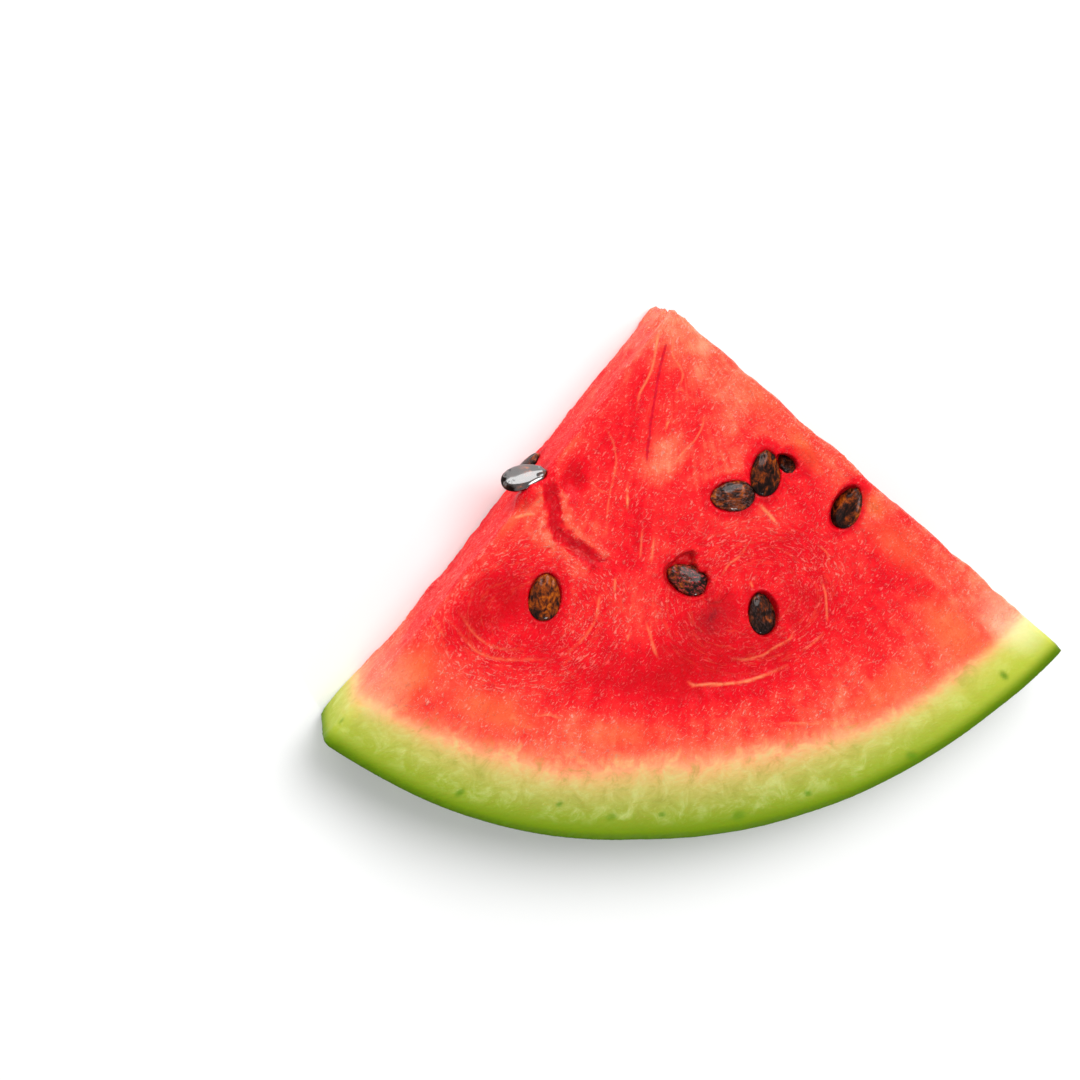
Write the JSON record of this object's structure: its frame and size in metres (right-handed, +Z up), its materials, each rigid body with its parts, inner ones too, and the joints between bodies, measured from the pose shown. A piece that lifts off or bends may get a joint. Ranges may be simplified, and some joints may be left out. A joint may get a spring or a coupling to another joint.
{
  "type": "watermelon wedge",
  "caption": "Wedge cut from a round slice of ripe watermelon, red flesh with dark seeds in it and a green rind, lying flat on one cut face.",
  "frame": {"origin": "bottom centre of the wedge's bounding box, on the surface it lies on", "axes": "+Z up, across the slice's thickness and along the melon's axis; +Y from the rind towards the wedge's point; X across the rind's arc, the widest way"},
  "size_m": [0.1668, 0.1196, 0.0255],
  "materials": {
    "flesh_and_rind": "wet red flesh, turning cream, pale green and then green through the rind to the skin",
    "seed_shell": "hard brown-black shell, mottled with amber, glossy with juice"
  },
  "bodies": {
    "root": {"wedge": "flesh_and_rind", "seed_left_edge_on": "seed_shell", "seed_left_proud": "seed_shell", "seed_right_flat": "seed_shell", "seed_right_low": "seed_shell", "seed_top_amber": "seed_shell", "seed_top_dark": "seed_shell", "seed_top_flapped": "seed_shell", "seed_top_level": "seed_shell", "seed_top_outer": "seed_shell", "seed_top_sunken": "seed_shell", "seed_top_tucked": "seed_shell", "seed_top_upright": "seed_shell", "seed_under_five": "seed_shell", "seed_under_four": "seed_shell", "seed_under_one": "seed_shell", "seed_under_seven": "seed_shell", "seed_under_six": "seed_shell", "seed_under_three": "seed_shell", "seed_under_two": "seed_shell"}
  },
  "joints": []
}
